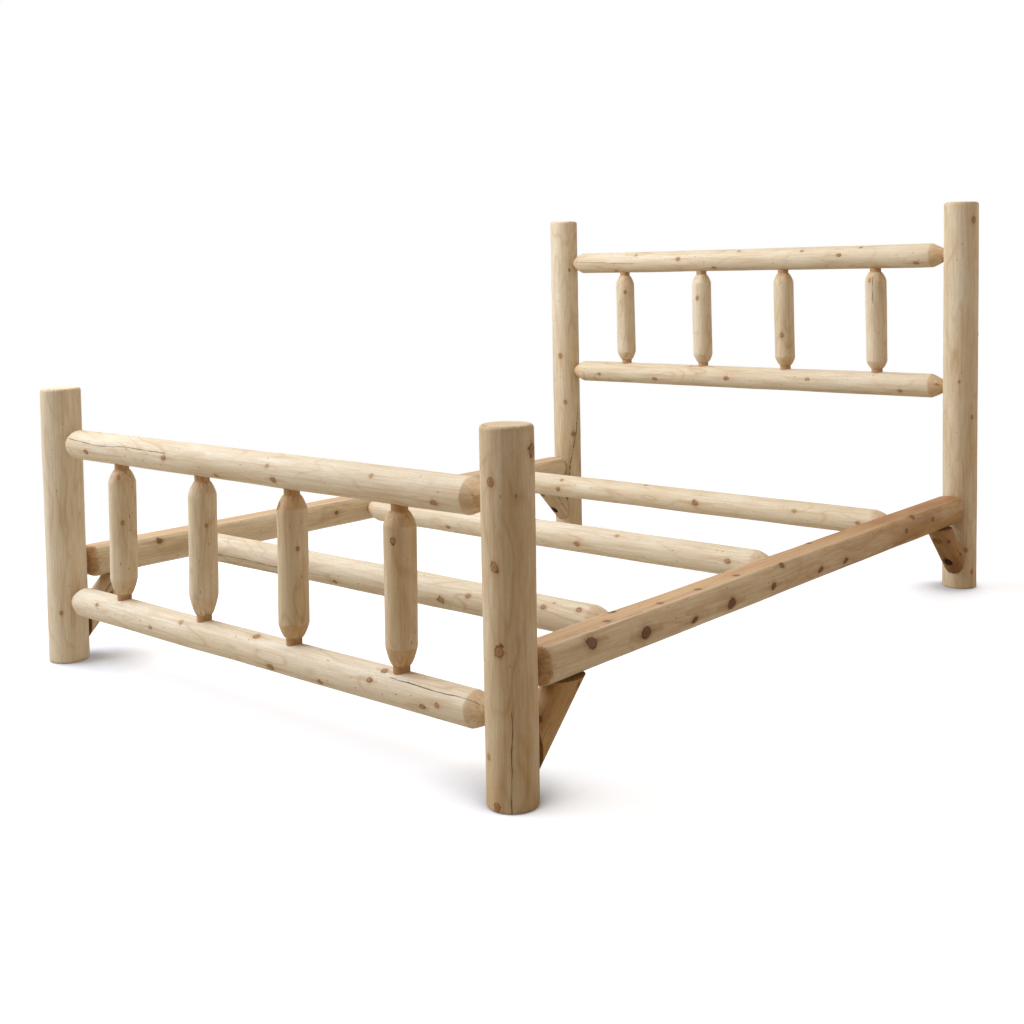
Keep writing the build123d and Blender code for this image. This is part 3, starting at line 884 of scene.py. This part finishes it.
for node, mark in spindles["marks"].items():
    end, number = node.split("_spindle_")
    lowRail, highRail = spindles["railHeights"][end]
    halfSpan = (highRail - lowRail) / 2 - spindles["railRadius"]
    log = {**spindles, **mark, "halfSpan": halfSpan}
    ySide = -1 if end == "foot" else 1
    lowShift, highShift = log["shift"]
    across = (int(number) - 2.5) * log["pitch"] + (lowShift + highShift) / 2
    middle = (across, ySide * log["along"], (lowRail + highRail) / 2)
    place = frameAt(middle, (1, 0, 0), (0, 1, 0)) @ leaning((highShift - lowShift) / (2 * halfSpan), 0)
    piece = growLog("peeled_" + node, place, peeledCedar, log, shouldered(log))
    standsFor(piece, node)
print("spindles grown")

# Side rails, sawn flat on top. Their low end is at the foot

sideRails = {
    "across": 792, "height": 259, "halfSpan": 1046, "radius": 48, "proud": 0.3, "shoulders": (34, 34),
    "neck": 0, "tenonRadius": 25, "tenonLength": 64, "bulge": 5, "ringSpacing": 4.5, "cut": 0.9,
    "hidden": (90, 130), "spare": 8,
    "skin": {
        "Around": 96, "Round Over": 0.3, "Ridge Wander": 0.004, "Waviness": 0.0014, "Flat Depth": 0.0006,
        "Sawn Height": 38 * mm,
    },
    "marks": {  # a tone below 0 or above 1 stays plain or brown for longer
        "side_rail_left": {
            "seed": 51, "tone": (0.0, 0.1),
            "knots": [(-830, -60, 8), (-712, -80, 6), (-169, -85, 6), (40, -70, 5), (250, -80, 6),
                      (480, -85, 7), (700, -70, 8)],
        },
        "side_rail_right": {
            "seed": 52, "tone": (-0.5, 1.2),
            "knots": [(-899, -66, 13), (-713, -91, 14), (-523, -108, 9), (-367, -102, 14), (-111, -47, 8),
                      (-173, -97, 9), (71, -104, 9), (213, -107, 9), (658, -45, 9), (778, -77, 8),
                      (592, -84, 8), (-803, -13, 8), (-616, -19, 8), (-461, -18, 8), (-292, -16, 8)],
            "checks": [[(-1012, -12), (-850, -28), (-700, -33)]],
        },
    },
}

for node, mark in sideRails["marks"].items():
    log = {**sideRails, **mark}
    xSide = -1 if "left" in node else 1
    place = frameAt((xSide * log["across"], 0, log["height"]), (-1, 0, 0), (0, 0, 1))
    piece = growLog("sawn_" + node, place, sawnCedar, log, shouldered(log))
    standsFor(piece, node)
print("side rails grown")

# Cross logs between the side rails

crossLogs = {
    "height": 257, "halfSpan": 744, "radius": 39, "proud": 0.5, "shoulders": (48, 48), "neck": 0,
    "tenonRadius": 19, "tenonLength": 42, "bulge": 2.5, "ringSpacing": 4, "cut": 0.25, "hidden": (95, 120),
    "spare": 6,
    "skin": {"Waviness": 0.0017, "Flat Depth": 0.0009},
    "marks": {
        "cross_log_foot": {
            "along": -708, "seed": 61, "tone": (0.0, 0.0),
            "knots": [(-110, -118, 6), (270, -101, 8), (356, -68, 6), (579, -55, 6), (602, -33, 3),
                      (675, -42, 6)],
            "checks": [[(-591, -103), (-470, -101), (-342, -105)]],
        },
        "cross_log_middle": {
            "along": -13, "seed": 62, "tone": (0.1, 0.1),
            "knots": [(-366, -114, 6), (273, -40, 5), (141, -100, 7), (-39, 5, 5), (634, -77, 7)],
        },
        "cross_log_head": {
            "along": 692, "seed": 63, "tone": (0.2, 0.2),
            "knots": [(-479, -47, 5), (-489, -98, 7), (85, -86, 9), (-130, -13, 5), (445, -70, 6),
                      (659, -90, 6)],
        },
    },
}

for node, mark in crossLogs["marks"].items():
    log = {**crossLogs, **mark}
    place = frameAt((0, log["along"], log["height"]), (0, 1, 0), (0, 0, 1))
    piece = growLog("peeled_" + node, place, peeledCedar, log, shouldered(log))
    standsFor(piece, node)
print("cross logs grown")

# Corner braces: a short log at 45 degrees, cut down to where it overlaps the sawn, coped and bored CAD
# brace. It is longer than the brace by the spare length and thinner by the inset, which keeps their
# surfaces apart

braces = {
    "across": 792, "along": 1099, "height": 259, "reach": 212, "radius": 37, "inset": 0.05, "endRadius": 36,
    "spareLength": 60, "ringSpacing": 4, "cut": 0.5, "hidden": (-90, 60), "spare": 1,
    "skin": {"Waviness": 0.0014, "Flat Depth": 0.0012, "Ridge Wander": 0.0},
    "marks": {
        "brace_foot_left": {"seed": 71, "tone": (0.3, 0.3), "wood": sawnCedar, "knots": [(10, 95, 5)],
                            "checks": [[(-60, 116), (95, 128)]]},
        "brace_foot_right": {"seed": 72, "tone": (0.15, 0.15), "wood": braceCedar,
                             "knots": [(75, 75, 5), (-30, 150, 5)]},
        "brace_head_left": {"seed": 73, "tone": (0.38, 0.38), "wood": sawnCedar, "knots": [(20, 100, 5)],
                            "checks": [[(-80, 110), (60, 95)]]},
        "brace_head_right": {"seed": 74, "tone": (0.9, 0.9), "wood": braceCedar,
                             "knots": [(-40, 100, 5), (50, 130, 5)]},
    },
}


def cutBlank(node, slotIndex):
    # The CAD brace as one closed mesh, whose faces take the material in this slot of the log
    blank = bmesh.new()
    blank.from_mesh(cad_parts[node].data)
    bmesh.ops.remove_doubles(blank, verts=blank.verts, dist=1e-5)
    bmesh.ops.recalc_face_normals(blank, faces=blank.faces)
    blankMesh = bpy.data.meshes.new(node + "Blank")
    blank.to_mesh(blankMesh)
    blank.free()
    blankMesh.polygons.foreach_set("material_index", [slotIndex] * len(blankMesh.polygons))
    blankObject = bpy.data.objects.new(node + "Blank", blankMesh)
    scene.collection.objects.link(blankObject)
    return blankObject


def copyAttributes(whole, trimmed):
    # The cut's edges belong to both meshes and come out bare, so they read their attributes off the log
    places = [vertex.co for vertex in whole.vertices]
    skin = BVHTree.FromPolygons(places, [face.vertices for face in whole.polygons])
    for vertex in trimmed.vertices:
        spot, normal, face, gap = skin.find_nearest(vertex.co)
        corners = whole.polygons[face].vertices
        shares = poly_3d_calc([whole.vertices[corner].co for corner in corners], spot)
        for layer in ("grain", "knot", "check", "faces", "tone"):
            values = whole.attributes[layer].data
            blended = sum((values[corner].vector * share for corner, share in zip(corners, shares)), Vector())
            trimmed.attributes[layer].data[vertex.index].vector = blended


for node, mark in braces["marks"].items():
    log = {**braces, **mark}
    xSide = -1 if "left" in node else 1
    inward = 1 if "foot" in node else -1
    reach = braces["reach"]
    middle = (xSide * braces["across"], -inward * (braces["along"] - reach / 2), braces["height"] - reach / 2)
    axis = Vector((0, inward, 1)).normalized()
    xAxis = Vector((1, 0, 0))
    length = reach * 2 ** 0.5 + braces["spareLength"]
    piece = growLog("mitred_" + node, frameAt(middle, xAxis, axis.cross(xAxis)), log["wood"], log, {
        "Body Rings": round(length / braces["ringSpacing"]), "Shoulder Rings": 1, "Tenon Rings": 0,
        "Length": length * mm, "Body Radius": (braces["radius"] - braces["inset"]) * mm, "Tenon Length": 0.0,
        "Low Shoulder": mm, "High Shoulder": mm,
        "Low End Radius": braces["endRadius"] * mm, "High End Radius": braces["endRadius"] * mm,
    })
    piece.data.materials.append(mitredCedar)
    blankObject = cutBlank(node, len(piece.data.materials) - 1)
    modifier = piece.modifiers.new("sawnBlank", "BOOLEAN")
    modifier.operation = "INTERSECT"
    modifier.solver = "MANIFOLD"
    modifier.object = blankObject
    trimmed = plainMesh(piece)
    copyAttributes(piece.data, trimmed)
    piece.data = trimmed
    bpy.data.objects.remove(blankObject)
    standsFor(piece, node)
print("braces cut")

# Lag screws and washers: zinc plated steel, painted a dark brown-grey for the shade in their bored holes,
# with a faint mottle from the bath

zincPlatedSteel, add = newMaterial("zincPlatedSteel")
spot = add("TexCoord").outputs["Object"]
mottle = add("TexNoise", {"Vector": spot, "Scale": 350, "Detail": 3})  # 3 mm
# far darker than bare zinc: painted shade for the holes they sit in
holeShadedZinc = add("Mix", {"Factor": mottle, "A": paint("#4E4A44"), "B": paint("#3A352F")}, data_type="RGBA")
rough = add("MapRange", {"Value": mottle, "To Min": 0.5, "To Max": 0.7})
steel = add("BsdfPrincipled", {"Base Color": holeShadedZinc, "Metallic": 1.0, "Roughness": rough})
add("OutputMaterial", {"Surface": steel})
for node in ("brace_washers", "brace_to_post_screws", "brace_to_rail_screws"):
    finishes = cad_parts[node].data.materials
    if not finishes:
        finishes.append(zincPlatedSteel)
    for index in range(len(finishes)):
        finishes[index] = zincPlatedSteel
print("fasteners finished")

scene.view_settings.view_transform = "Standard"
